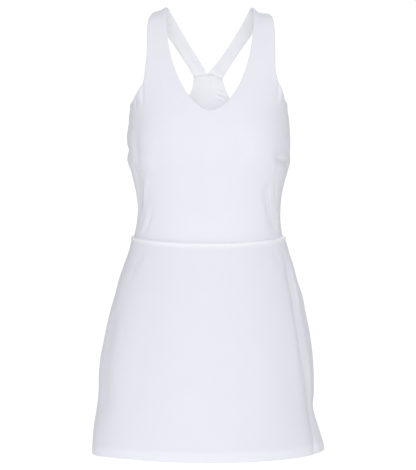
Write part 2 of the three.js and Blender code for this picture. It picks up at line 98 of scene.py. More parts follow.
# Creases of the bodice, in the same columns and with how far each bows sideways. They fade at both ends.
BODICE_CREASES = [
    # Puckers below the armholes
    (-45, -126, -49.5, -172, -1.8, 2.8, 1),
    (-50, -132, -54, -178, 0.9, 4.5, 1),
    (-57, -145, -62, -186, -1.5, 2.8, 1),
    (-61, -152, -67, -190, 0.7, 4, 0),
    (47, -120, 52.5, -168, -1.6, 2.8, -1),
    (52, -128, 58, -176, 0.9, 4.5, -1),
    (57, -140, 63.5, -182, -1.1, 2.8, -1),
    # Pulls from the bust to the sides
    (50, -258, 84, -270, 3.2, 5, 2),
    (54, -266, 88, -283, -4.4, 4.5, 2),
    (66, -226, 88, -218, -1.2, 4, 1),
    (-72, -246, -98, -254, -2.6, 4.5, -1),
    (-76, -262, -100, -276, 1.4, 5, 0),
    (-62, -212, -92, -204, -1.0, 5, 1),
    # Waist pulls at the left
    (-47, -292, -66, -352, 1.4, 6, 3),
    (-56, -300, -72, -356, -1.6, 4.5, 3),
    (-49, -346, -60, -404, -1.3, 4, -2),
    (-56, -352, -68, -404, 1.1, 5, -2),
    # Waist pulls at the right
    (42, -306, 57, -394, -0.9, 5, -2),
    (49, -300, 64, -388, 0.8, 6, -2),
    (54.5, -296, 72, -374, -1.5, 3.6, -2),
    (64, -330, 76, -398, 1.0, 5, 0),
    # Soft hollows under the bust
    (11, -214, 26, -262, -2.8, 17, 0),
    (-25, -234, -40, -290, -2.4, 18, 0),
    (-60, -200, -58, -300, -2.0, 12, 0),
    (24, -258, 48, -296, -1.8, 18, 0),
    # Back, below the armholes and across the waist
    (118, -214, 146, -238, -1.8, 5, 2),
    (122, -226, 150, -252, 1.3, 6, 2),
    (-116, -216, -142, -244, -1.8, 5, -2),
    (-122, -230, -150, -252, 1.2, 6, -2),
    (112, -350, 164, -376, -1.9, 4.5, 3),
    (108, -362, 158, -390, 1.4, 6, 3),
    (-110, -346, -160, -378, -2.0, 4.5, -3),
    (-106, -360, -156, -392, 1.3, 6, -3),
    (-176, -352, -138, -388, -1.2, 5, 2),
    (170, -300, 128, -322, -1.2, 6, -2),
    (-172, -306, -132, -330, -1.1, 6, 2),
    # Stretch lines inside the racer back
    (177.6, -142, 172.6, -150, -0.8, 1.5, 0),
    (177.0, -151, 171.0, -160, -1.0, 1.6, 0),
    (178.2, -160, 171.4, -168, -0.8, 1.5, 0),
    (177.0, -147, 172.0, -155, 0.4, 1.7, 0),
    (177.4, -156, 171.2, -164, 0.4, 1.7, 0),
    (182.1, -122, 182.1, -136, -0.5, 1.5, 0),
    (179.4, -122, 179.4, -136, -0.5, 1.5, 0),
]


def along(keys, values, places):
    """Values at places between a table's keys, on a smooth curve through them."""
    keys, values = np.asarray(keys, float), np.asarray(values, float)
    if keys[0] > keys[-1]:
        keys, values = keys[::-1], values[::-1]
    last = len(keys) - 1
    before = np.maximum(np.arange(last + 1) - 1, 0)
    after = np.minimum(np.arange(last + 1) + 1, last)
    slopes = (values[after] - values[before]) / (keys[after] - keys[before])
    key = np.clip(np.searchsorted(keys, places, side="right") - 1, 0, last - 1)
    span = keys[key + 1] - keys[key]
    share = np.clip((places - keys[key]) / span, 0, 1)
    square, cube = share**2, share**3
    return (
        values[key] * (2 * cube - 3 * square + 1)
        + slopes[key] * span * (cube - 2 * square + share)
        + values[key + 1] * (3 * square - 2 * cube)
        + slopes[key + 1] * span * (cube - square)
    )


def smooth(value, low, high):
    """0 below low, 1 above high, and an even rise in between."""
    share = np.clip((value - low) / (high - low), 0, 1)
    return share * share * (3 - 2 * share)


def between(start, end, share):
    """What lies a share of the way from a start to an end."""
    return start + (end - start) * share


def bowed(share):
    """0 at both ends and 1 half way."""
    return 4 * share * (1 - share)


class WornForm:
    """The rounded form that a part of the dress takes when worn, with the folds and creases of its cloth.
    A level counts the sections of the form from the top, and below nought it is behind the ridge."""

    def __init__(self, rows, row_above, ridge, folds, creases):
        rows = np.array(rows, float)
        self.columns = np.vstack([row_above, rows, 2 * rows[-1] - rows[-2]]).T
        self.keys = np.arange(-1.0, len(rows) + 1)
        self.ridge, self.folds, self.creases = ridge, folds, creases
        self.levels = np.linspace(0, len(rows) - 1, LEVEL_SAMPLES)
        self.heights = self.section(self.levels)[0]

    def section(self, level):
        """The sizes of the form's outline at a level, one for each column of its table."""
        return [along(self.keys, column, np.abs(level)) for column in self.columns]

    def level_at(self, height):
        """The level, in front of the ridge, at a height."""
        return np.interp(-np.asarray(height, float), -self.heights, self.levels)

    def angle_of(self, reach, level):
        """The angle at which the form is so far from the centre, at a level."""
        _, left, right, _, _, power = self.section(level)
        share = np.minimum(np.abs(reach) / np.where(np.asarray(reach) < 0, left, right), 1)
        return np.sign(reach) * np.degrees(np.arcsin(share ** (power / 2)))

    def bare(self, angle, level):
        """A point of the form with no folds."""
        height, left, right, front, back, power = self.section(level)
        sideways = np.sin(np.radians(angle))
        forward = np.cos(np.radians(angle)) * np.where(level < 0, -1, 1)
        half = np.where(sideways < 0, left, right)
        depth = np.where(forward > 0, front, back)
        x = np.sign(sideways) * half * np.abs(sideways) ** (2 / power)
        y = -np.sign(forward) * depth * np.abs(forward) ** (2 / power)
        if self.ridge:
            reach, left_lift, right_lift = self.ridge
            away = np.abs(x)
            lift = np.where(x < 0, along(reach, left_lift, away), along(reach, right_lift, away))
            height = height + lift * (1 - smooth(np.abs(level), 0, RIDGE_LEVELS))
        return np.stack([x, y, height], -1)

    def outward(self, angle, level):
        """Which way the bare form faces."""
        across = self.bare(angle + ANGLE_STEP, level) - self.bare(angle - ANGLE_STEP, level)
        down = self.bare(angle, level + LEVEL_STEP) - self.bare(angle, level - LEVEL_STEP)
        way = np.cross(down, across)
        return way / np.linalg.norm(way, axis=-1, keepdims=True)

    def relief(self, angle, height):
        """How far the folds and creases raise the cloth. Each is a line on the cloth laid flat, and a
        point's place is its share of the way along that line and how far it lies aside of it."""
        rise = np.zeros_like(angle)
        for start, top, end, foot, out, width, *bow in [*self.folds, *self.creases]:
            across = np.radians((angle - start + 180) % 360 - 180) * CLOTH_RADIUS
            down = height - top
            reach = np.radians((end - start + 180) % 360 - 180) * CLOTH_RADIUS
            fall = foot - top
            length = np.hypot(reach, fall)
            share = np.clip((across * reach + down * fall) / length**2, 0, 1)
            if bow:
                aside = (across * fall - down * reach) / length - bow[0] * bowed(share)
                rise += out * np.exp(-((aside / width) ** 2)) * np.sin(np.pi * share)
            else:
                away = np.hypot(across - reach * share, down - fall * share)
                rise += out * np.exp(-((away / width) ** 2))
        return rise

    def cloth(self, angle, level, out):
        """A point of the cloth's outer face, and so far out from there."""
        height = self.section(level)[0]
        rise = self.relief(np.where(level < 0, 180 - angle, angle), height) + out
        return self.bare(angle, level) + self.outward(angle, level) * rise[..., None]


# The form goes on behind the ridge as it came up in front, with front and back exchanged.
height, left, right, front, back, power = BODICE_FORM[1]
over_the_ridge = (height, left, right, -back, -front, power)
ridge_lift = (RIDGE_REACH, RIDGE_LEFT, RIDGE_RIGHT)
bodice_form = WornForm(BODICE_FORM, over_the_ridge, ridge_lift, BODICE_FOLDS, BODICE_CREASES)

# How far the rows and columns of a sheet crowd towards its edges, from 0 for even to 1
CROWDING = 0.5


def crowded(count):
    """Places from 0 to 1 that lie closer together towards both ends."""
    even = np.linspace(-1, 1, count)
    return (1 + between(even, 1.5 * even - 0.5 * even**3, CROWDING)) / 2


# The plain cloth's wall, and the wall at which a point's share in the group of thicknesses is 1
WALL = 1.5
FULL_WALL = 3.0

# Turned edge: the doubled cloth's wall, depth and rise, over how much it fades into the plain cloth, and
# how its outermost edge is rounded off and thinned.
TURNED_WALL = 2.1
TURNED_DEPTH = 8.0
TURNED_RISE = 0.25
TURNED_FADE = 1.0
EDGE_RADIUS = 2.4
EDGE_DROP = 1.0
EDGE_WALL = 1.0

# Seam: a fine groove with a flat bottom, a soft swell beside it, and the allowance that lies behind both.
SEAM_GROOVE = 0.55
SEAM_FLAT = 0.25
SEAM_HALF_WIDTH = 0.9
SEAM_SWELL = 0.15
SWELL_AT = 3.0
SWELL_WIDTH = 2.0
ALLOWANCE_WALL = 0.7
ALLOWANCE_DEPTH = 4.0
ALLOWANCE_FADE = 1.0


def distance_to(points, edge):
    """Each point's distance from the nearest point of an edge."""
    flat = points.reshape(-1, 3)
    nearest = np.full(len(flat), np.inf)
    for point in edge.reshape(-1, 3):
        nearest = np.minimum(nearest, ((flat - point) ** 2).sum(1))
    return np.sqrt(nearest).reshape(points.shape[:-1])


def edge_finish(points, turned, sewn):
    """How far the cloth rises near a panel's turned and sewn edges, and how thick its wall is."""
    out = np.zeros(points.shape[:-1])
    wall = np.full(points.shape[:-1], WALL)
    if turned:
        away = distance_to(points, np.concatenate(turned))
        rounded = np.clip(1 - away / EDGE_RADIUS, 0, 1) ** 2
        doubled = 1 - smooth(away, TURNED_DEPTH - TURNED_FADE, TURNED_DEPTH + TURNED_FADE)
        out += TURNED_RISE * doubled - EDGE_DROP * rounded
        wall += (TURNED_WALL - WALL) * doubled - (TURNED_WALL - EDGE_WALL) * rounded
    if sewn:
        away = distance_to(points, np.concatenate(sewn))
        out -= SEAM_GROOVE * np.exp(-((np.maximum(away - SEAM_FLAT, 0) / SEAM_HALF_WIDTH) ** 2))
        out += SEAM_SWELL * np.exp(-(((away - SWELL_AT) / SWELL_WIDTH) ** 2))
        wall += ALLOWANCE_WALL * (1 - smooth(away, ALLOWANCE_DEPTH - ALLOWANCE_FADE, ALLOWANCE_DEPTH))
    return out, wall


# Digits that a share of the wall is kept to, so that many points have the same one, and the degrees past
# which a fold in the cloth keeps its hard edge.
WALL_DIGITS = 2
SHARP_FOLD = 50


def cloth_sheet(name, form, angle, level, out, wall, painted_light=0.0, grain=None):
    """A sheet whose points lie where the form's cloth is, from a flat grid. The knit's own map follows the
    grain, in metres across and along the cloth, a group of points holds the wall's thickness, and an
    attribute holds painted light: where the cloth's face is painted lighter to stand in for light."""
    rows, columns = angle.shape
    bpy.ops.mesh.primitive_grid_add(x_subdivisions=columns - 1, y_subdivisions=rows - 1, size=2)
    sheet = bpy.context.object
    sheet.name = sheet.data.name = name
    flat = np.zeros((rows * columns, 3))
    sheet.data.vertices.foreach_get("co", flat.ravel())
    column = np.rint((flat[:, 0] + 1) / 2 * (columns - 1)).astype(int)
    row = np.rint((flat[:, 1] + 1) / 2 * (rows - 1)).astype(int)
    points = form.cloth(angle, level, out)[row, column] * MM
    sheet.data.vertices.foreach_set("co", points.ravel())
    if grain is None:
        grain = np.stack([np.radians(angle) * CLOTH_RADIUS, form.section(level)[0]], -1)
    corners = np.zeros(len(sheet.data.loops), int)
    sheet.data.loops.foreach_get("vertex_index", corners)
    sheet.data.uv_layers.active.name = "knit"
    sheet.data.uv_layers["knit"].data.foreach_set("uv", (grain[row, column] * MM)[corners].ravel())
    thick = sheet.vertex_groups.new(name="wall")
    share = np.round(wall[row, column] / FULL_WALL, WALL_DIGITS)
    for value in np.unique(share):
        thick.add(np.flatnonzero(share == value).tolist(), float(value), "REPLACE")
    # Painted light, from 0 for none to 1 for full: where the face is painted lighter to stand in for light
    # falling on it
    painted_light_attribute = sheet.data.attributes.new("painted_light", "FLOAT", "POINT")
    painted_light_attribute.data.foreach_set("value", np.broadcast_to(painted_light, angle.shape)[row, column])
    sheet.data.update()
    return sheet


def give_wall(sheet):
    """Thickens a sheet inwards by its own group of wall thicknesses, paints its inside lighter as painted
    light, and smooths its shading."""
    outer_count = len(sheet.data.vertices)
    bpy.ops.object.select_all(action="DESELECT")
    sheet.select_set(True)
    bpy.context.view_layer.objects.active = sheet
    wall = sheet.modifiers.new("wall", "SOLIDIFY")
    wall.thickness = FULL_WALL * MM
    wall.offset = -1
    wall.use_quality_normals = True
    wall.vertex_group = "wall"
    bpy.ops.object.modifier_apply(modifier=wall.name)
    # The inside faces get the full painted light: a lighter colour that stands in for the light reaching
    # into the dress
    for point in sheet.data.attributes["painted_light"].data[outer_count:]:
        point.value = 1
    bpy.ops.object.shade_smooth_by_angle(angle=np.radians(SHARP_FOLD))


# Neckline: half its width on the ridge and at the shoulder seam, how far its lowest point lies to the
# right, its height and rise, and the powers that make its curve full.
NECK_HALF = 77.6
NECK_SEAM_HALF = 72.6
NECK_SHIFT = 2.2
NECK_HEIGHT = -178.7
NECK_RISE = 181.0
NECK_FALL = 2.25
NECK_ROUND = 1.72

# The shoulder seam lies so many levels behind the ridge.
SHOULDER_LEVEL = 0.8

# Armhole edge of the front: levels, and how far it lies from the centre on the left and on the right.
ARMHOLE_LEVELS = [-0.8, 0, 1, 2, 3, 4, 4.7, 5.2, 5.6, 6, 6.4, 6.8, 7.05]
ARMHOLE_LEFT = [98.6, 100.6, 104.4, 108.8, 110.8, 110.8, 114, 116.6, 124, 132.4, 138.3, 142, 144.4]
ARMHOLE_RIGHT = [104.6, 106.6, 110, 113.4, 115.8, 116.2, 116.6, 121, 127.6, 133.2, 136.6, 139.4, 141.4]

# Underarm: its height, the level from which the armhole turns towards the side seam, and the power of
# that turn.
UNDERARM_HEIGHT = -180.0
ROUNDED_FROM = 6.0
ROUNDING = 2.3

# Side seam, and the bodice's lower edge: its height at the sides, how much lower it lies at the centre
# front and the centre back, and how far it is tucked into the waist roll.
BODICE_SEAM = 94.0
WAIST_SIDE_HEIGHT = -408.2
WAIST_FRONT_DIP = 5.0
WAIST_BACK_DIP = 3.0
WAIST_TUCK = 2.0

# Rows up to the underarm and up the strap, columns from the armhole side to the centre, how many levels
# the rows sag between them, and the samples between which an edge's even steps are found.
BODICE_ROWS = 76
STRAP_ROWS = 96
FRONT_COLUMNS = 112
ROW_SAG = 1.1
EDGE_SAMPLES = 900
climb = np.linspace(0, 1, EDGE_SAMPLES) ** 2

# A seam's groove ends so many rows before the underarm, and so many columns before a turned edge.
ROWS_SHORT = 3
COLUMNS_SHORT = 4


def waist_height(angle):
    """The height of the waist seam."""
    forward = np.cos(np.radians(angle))
    return WAIST_SIDE_HEIGHT - np.where(forward > 0, WAIST_FRONT_DIP, WAIST_BACK_DIP) * forward**2


def neck_reach(level, side):
    """How far right of the centre the neckline is at a level. The side is -1 for left or 1 for right."""
    share = np.clip((bodice_form.section(level)[0] - NECK_HEIGHT) / NECK_RISE, 0, 1)
    half = NECK_HALF * (1 - (1 - share) ** NECK_FALL) ** (1 / NECK_ROUND)
    behind = between(NECK_HALF, NECK_SEAM_HALF, -level / SHOULDER_LEVEL)
    return np.where(level > 0, side * half + NECK_SHIFT * (1 - share), side * behind)


def strap_steps(angle, level):
    """The strap's rows in even steps along an edge that close angles and levels give."""
    points = bodice_form.bare(angle, level)
    run = np.concatenate([[0], np.cumsum(np.linalg.norm(np.diff(points, axis=0), axis=1))])
    even = np.linspace(0, run[-1], STRAP_ROWS)
    return np.interp(even, run, angle)[:, None], np.interp(even, run, level)[:, None]


def neckline(side):
    """The neckline, from its lowest point over the ridge to the shoulder seam."""
    level = between(bodice_form.level_at(NECK_HEIGHT), -SHOULDER_LEVEL, climb)
    return strap_steps(bodice_form.angle_of(neck_reach(level, side), level), level)


def armhole(side):
    """The armhole, from the side seam at the underarm over the ridge to the shoulder seam."""
    level = between(bodice_form.level_at(UNDERARM_HEIGHT), -SHOULDER_LEVEL, climb)
    reach = along(ARMHOLE_LEVELS, ARMHOLE_LEFT if side < 0 else ARMHOLE_RIGHT, level)
    to_seam = np.clip((level - ROUNDED_FROM) / (level[0] - ROUNDED_FROM), 0, 1) ** ROUNDING
    angle = between(bodice_form.angle_of(side * reach, level), side * BODICE_SEAM, to_seam)
    return strap_steps(angle, level)


def front_half(side):
    """Half of the bodice front, in columns between the armhole side and the centre. Rows rise from the
    waist to the underarm and the lowest point of the neckline, and then climb the strap."""
    place = crowded(FRONT_COLUMNS)[None, :]
    inward = place if side < 0 else 1 - place
    sag = ROW_SAG * bowed(inward)
    rise = crowded(BODICE_ROWS)[:, None]
    centre = bodice_form.angle_of(NECK_SHIFT, bodice_form.level_at(NECK_HEIGHT)) * rise
    angle = between(side * BODICE_SEAM, centre, inward)
    top = between(UNDERARM_HEIGHT, NECK_HEIGHT, inward)
    level = bodice_form.level_at(between(waist_height(angle) - WAIST_TUCK, top, rise)) + sag * rise**2
    arm_angle, arm_level = armhole(side)
    neck_angle, neck_level = neckline(side)
    left_to_climb = np.linspace(1, 0, STRAP_ROWS)[:, None]
    strap_angle = between(arm_angle, neck_angle, inward)
    strap_level = between(arm_level, neck_level, inward) + sag * left_to_climb**3
    angle = np.concatenate([angle, strap_angle[1:]])
    level = np.concatenate([level, strap_level[1:]])
    points = bodice_form.bare(angle, level)
    outer, inner = (0, -1) if side < 0 else (-1, 0)
    turned = [points[BODICE_ROWS - 1 :, outer], points[BODICE_ROWS - 1 :, inner]]
    side_seam = points[: BODICE_ROWS - ROWS_SHORT, outer]
    shoulder_seam = points[-1, COLUMNS_SHORT:-COLUMNS_SHORT]
    return angle, level, *edge_finish(points, turned, [side_seam, shoulder_seam])


# The two halves are one panel: they are joined where their points at the centre front meet.
WELD = 0.01
bodice_front, right_half = (
    cloth_sheet("bodice_front_knit", bodice_form, *front_half(side)) for side in (-1, 1)
)
bodice_front.select_set(True)
right_half.select_set(True)
bpy.context.view_layer.objects.active = bodice_front
bpy.ops.object.join()
bpy.ops.object.mode_set(mode="EDIT")
bpy.ops.mesh.select_all(action="SELECT")
bpy.ops.mesh.remove_doubles(threshold=WELD * MM)
bpy.ops.object.mode_set(mode="OBJECT")
give_wall(bodice_front)


class Value:
    """A node's output in an expression: arithmetic on it adds the Math nodes."""

    def __init__(self, nodes, socket):
        self.nodes, self.socket = nodes, socket

    def math(self, operation, *others):
        """What a Math node makes of this value and others."""
        sockets = dict(enumerate([self, *others]))
        return self.nodes.add("ShaderNodeMath", {"operation": operation}, sockets)

    def __add__(self, other):
        return self.math("ADD", other)

    def __mul__(self, other):
        return self.math("MULTIPLY", other)

    __radd__, __rmul__ = __add__, __mul__


class Nodes:
    """The nodes of a material, or of the light all round, and the shader that they start with."""

    def __init__(self, owner, shader="Principled BSDF"):
        owner.use_nodes = True
        self.tree = owner.node_tree
        self.shader = self.tree.nodes[shader]

    def set(self, socket, value):
        """Links a socket to another node's output, or gives it a plain value."""
        if isinstance(value, Value):
            self.tree.links.new(value.socket, socket)
        else:
            socket.default_value = value

    def shade(self, sockets):
        """Gives the shader's sockets their values or links."""
        for key, value in sockets.items():
            self.set(self.shader.inputs[key], value)

    def add(self, kind, settings, sockets, output=0):
        """Adds a node: its settings are set first, then its sockets get values or links."""
        node = self.tree.nodes.new(kind)
        for key, value in settings.items():
            setattr(node, key, value)
        for key, value in sockets.items():
            self.set(node.inputs[key], value)
        return Value(self, node.outputs[output])

    def mixed(self, share, first, second):
        """A colour between two. Of a Mix node's many sockets, these are the ones for colours."""
        sockets = {"Factor": share, 6: first, 7: second}
        return self.add("ShaderNodeMix", {"data_type": "RGBA"}, sockets, output=2)


# Firm jersey: wales 0.9 mm apart in courses of 0.7 mm. A loop's legs lean with the wale that they are in,
# and wale and leg share the relief.
WALE = 0.9 * MM
COURSE = 0.7 * MM
LEG_LEAN = 1.2
WALE_SHARE = 0.6
LEG_SHARE = 0.4

# Soft mottle where the knit is stretched, and fine lint, as noise by its scale
MOTTLE_SCALE = 22.0
LINT_SCALE = 420.0

# What mottle, stitch and lint add to the tone, and lint to the relief. The stitch's share is painted
# shade, darker in the grooves between the loops.
MOTTLE_TONE = 0.8
STITCH_PAINTED_SHADE = 0.05
LINT_TONE = 0.2
LINT_RELIEF = 0.6
RELIEF = 0.05 * MM

# Roughness of the cloth's face, and how much rougher the mottle makes it
FACE_ROUGHNESS = 0.54
MOTTLE_ROUGHNESS = 0.12
# Painted light: the lighter white painted on the cloth's inside, standing in for the light that reaches
# into the dress
INSIDE_PAINTED_LIGHT = (0.905, 0.912, 0.948, 1)


def knit(name, light, shade):
    """The smooth, cool white knit: fine stitches, a faint mottle and a soft, low sheen. Its inside is
    painted a lighter white, which is painted light for the light that reaches into the dress."""
    cloth = bpy.data.materials.new(name)
    nodes = Nodes(cloth)
    grain = nodes.add("ShaderNodeUVMap", {"uv_map": "knit"}, {})
    across = nodes.add("ShaderNodeSeparateXYZ", {}, {"Vector": grain}, output="X")
    down = nodes.add("ShaderNodeSeparateXYZ", {}, {"Vector": grain}, output="Y")
    wale = (across * (2 * np.pi / WALE)).math("COSINE")
    leg = (down * (2 * np.pi / COURSE) + wale * LEG_LEAN).math("SINE")
    stitch = wale * WALE_SHARE + leg * LEG_SHARE
    place = nodes.add("ShaderNodeTexCoord", {}, {}, output="Object")
    blotches = {"Vector": place, "Scale": MOTTLE_SCALE, "Detail": 3.0, "Roughness": 0.55}
    mottle = nodes.add("ShaderNodeTexNoise", {}, blotches)
    fibres = {"Vector": place, "Scale": LINT_SCALE, "Detail": 2.0, "Roughness": 0.6}
    lint = nodes.add("ShaderNodeTexNoise", {}, fibres)
    # The stitches' share of the tone is painted shade in the knit's grooves; mottle and lint vary it at
    # random
    tone = mottle * MOTTLE_TONE + stitch * STITCH_PAINTED_SHADE + lint * LINT_TONE
    # Painted light on the inside, the hem and the roll's top, mixed over the knit's tone
    painted_light = nodes.add("ShaderNodeAttribute", {"attribute_name": "painted_light"}, {}, output="Fac")
    relief = {"Strength": 0.35, "Distance": RELIEF, "Height": stitch + lint * LINT_RELIEF}
    nodes.shade({
        "Base Color": nodes.mixed(painted_light, nodes.mixed(tone, (*shade, 1), (*light, 1)), INSIDE_PAINTED_LIGHT),
        "Roughness": mottle * MOTTLE_ROUGHNESS + FACE_ROUGHNESS,
        "Normal": nodes.add("ShaderNodeBump", {}, relief),
        "Specular IOR Level": 0.32,
        "Sheen Weight": 0.04,
        "Sheen Roughness": 0.45,
    })
    return cloth


bodice_knit = knit("bodice_knit", light=(0.787, 0.795, 0.857), shade=(0.762, 0.77, 0.83))
bodice_front.data.materials.append(bodice_knit)
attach(bodice_front, "root")
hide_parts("bodice_front")


# Bodice back: one panel, cut in deeply at both armholes to a narrow neck that ends in an arched seam,
# where the two back straps are sewn on. Its armhole edges are turned under.

# Arched seam: its highest point, and how fast it falls to the left and to the right of that
ARCH_CENTRE = -4.0
ARCH_HEIGHT = -116.6
ARCH_FALL_LEFT = 0.009
ARCH_FALL_RIGHT = 0.0118

# Steps up the armholes: the row's height at the centre and at the edge, how far the edge lies from the
# centre on the left and on the right, and how late the row bends.
BACK_STEPS = [
    (-228, -180, 145, 142, 8),
    (-224, -184, 143.4, 140.6, 6.5),
    (-219, -190, 137.5, 135.5, 5),
    (-213, -195.5, 123, 121, 4),
    (-206, -197.5, 104, 102, 3),
    (-198.5, -195.5, 86, 84, 2.4),
    (-187.5, -188.5, 68, 66, 2),
    (-175, -177, 53, 51, 2),
    (-161, -163, 41, 39, 2),
    (-147, -149, 33.5, 31, 2),
    (-132.5, -136, 30, 26.5, 2),
    (-117.2, -122.6, 28.8, 24, 2),
]
BACK_COLUMNS = 151
ROWS_PER_STEP = 12
ARCH_ROWS_APART = 0.015


def arch_height(x):
    """The height of the arched seam at a distance from the middle."""
    fall = np.where(x < ARCH_CENTRE, ARCH_FALL_LEFT, ARCH_FALL_RIGHT)
    return ARCH_HEIGHT - fall * (x - ARCH_CENTRE) ** 2


def rows_to_arch(first, last, rows_per_step, apart):
    """Even rows through a table's steps, and close ones at the arched seam, which keep its groove fine."""
    even = np.arange(first, last * rows_per_step) / rows_per_step
    return np.append(even, [last - 2 * apart, last - apart, last])[:, None]


def back_panel():
    """The bodice back, in columns from armhole to armhole. Rows rise from the waist to the underarms, and
    then up between the armholes to the arched seam."""
    middle, edge, left, right, bend = np.array(BACK_STEPS, float).T
    steps = np.arange(len(BACK_STEPS))
    last = steps[-1]
    place = (2 * crowded(BACK_COLUMNS) - 1)[None, :]
    side = np.abs(place)
    half_panel = 180 - BODICE_SEAM
    rise = crowded(BODICE_ROWS)[:, None]
    angle = np.broadcast_to(180 + place * half_panel, (BODICE_ROWS, BACK_COLUMNS))
    top = between(middle[0], edge[0], side ** bend[0])
    level = bodice_form.level_at(between(waist_height(angle) - WAIST_TUCK, top, rise))
    # How far round from the centre back each step's edge lies
    edge_level = bodice_form.level_at(edge)
    left_half = np.concatenate([[half_panel], -bodice_form.angle_of(-left, edge_level)[1:]])
    right_half = np.concatenate([[half_panel], bodice_form.angle_of(right, edge_level)[1:]])
    step = rows_to_arch(1, last, ROWS_PER_STEP, ARCH_ROWS_APART)
    half = np.where(place < 0, along(steps, right_half, step), along(steps, left_half, step))
    up_angle = 180 + place * half
    bent = side ** along(steps, bend, step)
    up_height = between(along(steps, middle, step), along(steps, edge, step), bent)
    arch = arch_height(bodice_form.bare(up_angle[-1], bodice_form.level_at(up_height[-1]))[..., 0])
    up_height = up_height + (arch - up_height[-1]) * smooth(step, last - 1, last)
    angle = np.concatenate([angle, up_angle])
    level = np.concatenate([level, bodice_form.level_at(up_height)])
    points = bodice_form.bare(angle, level)
    turned = [points[BODICE_ROWS - 1 :, 0], points[BODICE_ROWS - 1 :, -1]]
    side_seams = [points[: BODICE_ROWS - ROWS_SHORT, 0], points[: BODICE_ROWS - ROWS_SHORT, -1]]
    arched_seam = points[-1, COLUMNS_SHORT:-COLUMNS_SHORT]
    return angle, level, *edge_finish(points, turned, [*side_seams, arched_seam])


bodice_back = cloth_sheet("bodice_back_knit", bodice_form, *back_panel())
give_wall(bodice_back)
bodice_back.data.materials.append(bodice_knit)
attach(bodice_back, "root")
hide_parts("bodice_back")


# Back straps: two ribbons of the same knit with both edges turned under, sewn on at the shoulders and
# slanting in to the arched seam, where they meet in the notch of the back neckline.

# Steps down a strap: heights and distances from the centre, on the left and on the right, of its inner
# edge beside the neck and of its outer edge beside the armhole.
STRAP_STEPS = [
    (-4, 72.6, 72.6, -4, 98.6, 104.6),
    (-12, 67.4, 67.4, -19, 93, 95.5),
    (-24, 60, 61, -38, 82.5, 82.5),
    (-38, 51.6, 53, -56, 71, 70),
    (-54, 42.2, 43.2, -73, 59.7, 58),
    (-72, 31.4, 31.6, -90, 48.4, 46.6),
    (-91, 19.6, 18, -105, 38.8, 37),
    (-107, 9.4, 4.4, -115, 33.2, 30.6),
    (-115.4, 4.2, -3.9, -122.6, 28.8, 24),
]
STRAP_COLUMNS = 31
ROWS_PER_STRAP_STEP = 10
STRAP_ROWS_APART = 0.03


def back_strap(side):
    """A back strap, in rows from the shoulder seam down to the arched seam, and columns from the left:
    from the armhole to the neck on the left strap, and the other way on the right one."""
    inner, inner_left, inner_right, outer, outer_left, outer_right = np.array(STRAP_STEPS, float).T
    steps = np.arange(len(STRAP_STEPS))
    last = steps[-1]
    place = crowded(STRAP_COLUMNS)[None, :]
    outward = 1 - place if side < 0 else place
    step = rows_to_arch(0, last, ROWS_PER_STRAP_STEP, STRAP_ROWS_APART)
    near, far = (inner_left, outer_left) if side < 0 else (inner_right, outer_right)
    reach = side * between(along(steps, near, step), along(steps, far, step), outward)
    near_level = bodice_form.level_at(along(steps, inner, step))
    far_level = bodice_form.level_at(along(steps, outer, step))
    level = between(near_level, far_level, outward)
    level = level + (SHOULDER_LEVEL - level[0]) * (1 - smooth(step, 0, 1))
    arch_level = bodice_form.level_at(arch_height(reach[-1]))
    level = level + (arch_level - level[-1]) * smooth(step, last - 1, last)
    angle = bodice_form.angle_of(reach, level)
    points = bodice_form.bare(angle, -level)
    shoulder_seam, arched_seam = points[[0, -1], COLUMNS_SHORT:-COLUMNS_SHORT]
    out, wall = edge_finish(points, [points[:, 0], points[:, -1]], [shoulder_seam, arched_seam])
    # The grain runs down the strap, whichever way it slants.
    down = np.linalg.norm(np.diff(points[:, STRAP_COLUMNS // 2], axis=0), axis=1)
    run = np.concatenate([[0], np.cumsum(down)])[:, None]
    width = np.linalg.norm(points[:, -1] - points[:, 0], axis=1)[:, None]
    grain = np.stack([(place - 0.5) * width, np.broadcast_to(-run, angle.shape)], -1)
    return angle, -level, out, wall, grain


for side, word in ((-1, "left"), (1, "right")):
    *shape, grain = back_strap(side)
    strap = cloth_sheet(f"back_strap_{word}_knit", bodice_form, *shape, grain=grain)
    give_wall(strap)
    strap.data.materials.append(bodice_knit)
    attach(strap, "root")
    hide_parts(f"back_strap_{word}")


# Skirt front and back: two flared panels of the same knit, sewn together at the sides. The top edge of
# each is turned in and rolls proud of the bodice at the waist seam, and the lower edge is turned up in
# a hem.

# Worn form of the skirt, in the columns of the bodice's form
SKIRT_FORM = [
    (-395, 133, 129, 88, 81.5, 2.2),
    (-411, 136.4, 132.4, 90, 85, 2.2),
    (-427, 141.8, 139.4, 93, 91, 2.2),
    (-456, 152.9, 150, 98.5, 102, 2.2),
    (-485, 163, 157.5, 104.5, 111, 2.2),
    (-514, 170.6, 164.6, 110, 118, 2.2),
    (-543, 179, 170, 114.5, 123, 2.2),
    (-572, 185.6, 176, 118.5, 127, 2.2),
    (-601, 191, 181, 122, 130, 2.2),
    (-630, 196.2, 184.3, 125, 132.5, 2.2),
    (-660, 198.9, 186, 128, 134.5, 2.2),
    (-689, 199.5, 186.3, 130.5, 136, 2.2),
    (-718, 202.9, 187.3, 133, 137.5, 2.2),
    (-748, 208.3, 195.5, 136, 139, 2.1),
    (-777, 211.8, 204.5, 137.5, 140.5, 2.05),
    (-805, 213.2, 211, 138.5, 142, 2),
]
SKIRT_FOLDS = [
    (88, -520, 92, -690, 3, 20),
    (-72, -560, -70, -700, -3, 22),
    (-108, -470, -110, -760, -5, 20),
    (-136, -560, -140, -800, 6, 30),
    (178, -600, 174, -800, -5, 34),
    (136, -540, 142, -800, 5, 30),
]
